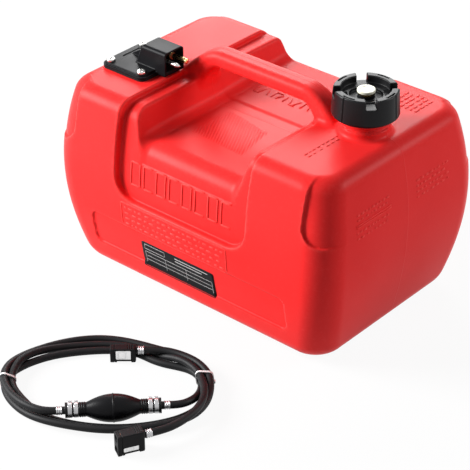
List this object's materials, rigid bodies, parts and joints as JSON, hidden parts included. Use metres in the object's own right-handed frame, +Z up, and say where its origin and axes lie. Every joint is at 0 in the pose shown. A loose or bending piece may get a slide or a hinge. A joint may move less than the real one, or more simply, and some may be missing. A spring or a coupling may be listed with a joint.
{
  "type": "portable outboard fuel tank",
  "caption": "Portable outboard motor fuel tank with carry handle, castellated filler cap with vent screw, quick-connect fuel outlet, and a coiled fuel line with primer bulb.",
  "frame": {"origin": "middle of the tank's underside, on the ground", "axes": "+X along the handle towards the filler cap, +Y to the tank's back, +Z up; the fuel line lies on the ground in front, towards -Y"},
  "size_m": [0.36, 0.4779, 0.252],
  "materials": {
    "tank_plastic": "blow-moulded polyethylene, fine satin grain",
    "black_plastic": "moulded nylon, satin",
    "cap_plastic": "moulded polyethylene, satin",
    "gasket_rubber": "matt",
    "seal_rubber": "matt",
    "steel": "zinc plated",
    "brass": "turned",
    "clear_hose": "translucent",
    "strainer_plastic": "matt",
    "liner_plastic": "smooth",
    "knob_plastic": "smooth",
    "hose_rubber": "satin",
    "bulb_rubber": "satin",
    "valve_plastic": "moulded",
    "tie_plastic": "smooth",
    "band_steel": "rolled strip",
    "connector_plastic": "moulded nylon",
    "latch_steel": "stamped"
  },
  "bodies": {
    "tank": {"tank_shell": "tank_plastic", "connector_gasket": "gasket_rubber", "outlet_housing": "black_plastic", "housing_screws": "steel", "screw_inserts": "brass", "fuel_nipple": "brass", "nipple_oring": "seal_rubber", "guide_pin": "steel", "pickup_spigot": "brass", "pickup_tube": "clear_hose", "pickup_strainer": "strainer_plastic"},
    "cap_seal": {"cap_gasket": "gasket_rubber"},
    "cap_carrier": {"cap_liner": "liner_plastic"},
    "cap": {"filler_cap": "cap_plastic"},
    "vent_carrier": {"vent_seal": "gasket_rubber"},
    "vent": {"vent_collar": "brass", "vent_knob": "knob_plastic", "vent_clip": "steel"},
    "fuel_line": {"hose_coil": "hose_rubber", "hose_tail_a": "hose_rubber", "hose_tail_b": "hose_rubber", "hose_stub_right": "hose_rubber", "hose_stub_left": "hose_rubber", "coil_ties": "tie_plastic", "primer_bulb": "bulb_rubber", "valve_body_left": "valve_plastic", "valve_body_right": "valve_plastic", "bulb_bands": "band_steel", "hose_clips": "band_steel", "connector_body_a": "connector_plastic", "connector_body_b": "connector_plastic", "connector_seal_a": "seal_rubber", "connector_seal_b": "seal_rubber", "connector_pin_a": "steel", "connector_pin_b": "steel"},
    "latch_a": {"connector_latch_a": "latch_steel"},
    "latch_b": {"connector_latch_b": "latch_steel"},
    "valve_left": {"poppet_left": "strainer_plastic"},
    "valve_right": {"poppet_right": "strainer_plastic"}
  },
  "joints": [
    {"name": "cap_lift", "type": "slide", "parent": "tank", "child": "cap_seal", "axis": [0, 0, 1], "range_m": [0, 0.06]},
    {"name": "cap_rise", "type": "slide", "parent": "cap_seal", "child": "cap_carrier", "axis": [0, 0, 1], "range_m": [0, 0.009]},
    {"name": "cap_turn", "type": "hinge", "parent": "cap_carrier", "child": "cap", "pos_m": [0.125, 0, 0.2385], "axis": [0, 0, 1], "range_deg": [0, 540]},
    {"name": "vent_rise", "type": "slide", "parent": "cap", "child": "vent_carrier", "axis": [0, 0, 1], "range_m": [0, 0.003]},
    {"name": "vent_turn", "type": "hinge", "parent": "vent_carrier", "child": "vent", "pos_m": [0.125, 0, 0.2445], "axis": [0, 0, 1], "range_deg": [0, 540]},
    {"name": "fuel_line_lift", "type": "slide", "parent": "tank", "child": "fuel_line", "axis": [0, 0, 1], "range_m": [0, 0.1]},
    {"name": "latch_a_press", "type": "hinge", "parent": "fuel_line", "child": "latch_a", "pos_m": [0.01479, -0.21675, 0.00775], "axis": [0, 0, 1], "range_deg": [0, 8], "stiffness_Nm_per_rad": 0.02, "springref_deg": -5.73},
    {"name": "latch_b_press", "type": "hinge", "parent": "fuel_line", "child": "latch_b", "pos_m": [0.11585, -0.31226, 0.0108], "axis": [0, 0, 1], "range_deg": [0, 8], "stiffness_Nm_per_rad": 0.02, "springref_deg": -5.73},
    {"name": "valve_left_slide", "type": "slide", "parent": "fuel_line", "child": "valve_left", "axis": [0.6972, 0.7169, 0], "range_m": [0, 0.0015], "stiffness_N_per_m": 20, "springref_m": -0.001},
    {"name": "valve_right_slide", "type": "slide", "parent": "fuel_line", "child": "valve_right", "axis": [0.6972, 0.7169, 0], "range_m": [0, 0.0015], "stiffness_N_per_m": 20, "springref_m": -0.001}
  ],
  "couplings": [
    {"joint": "cap_rise", "follows": "cap_turn", "m_per_rad": 0.00095493},
    {"joint": "vent_rise", "follows": "vent_turn", "m_per_rad": 0.00031831}
  ]
}
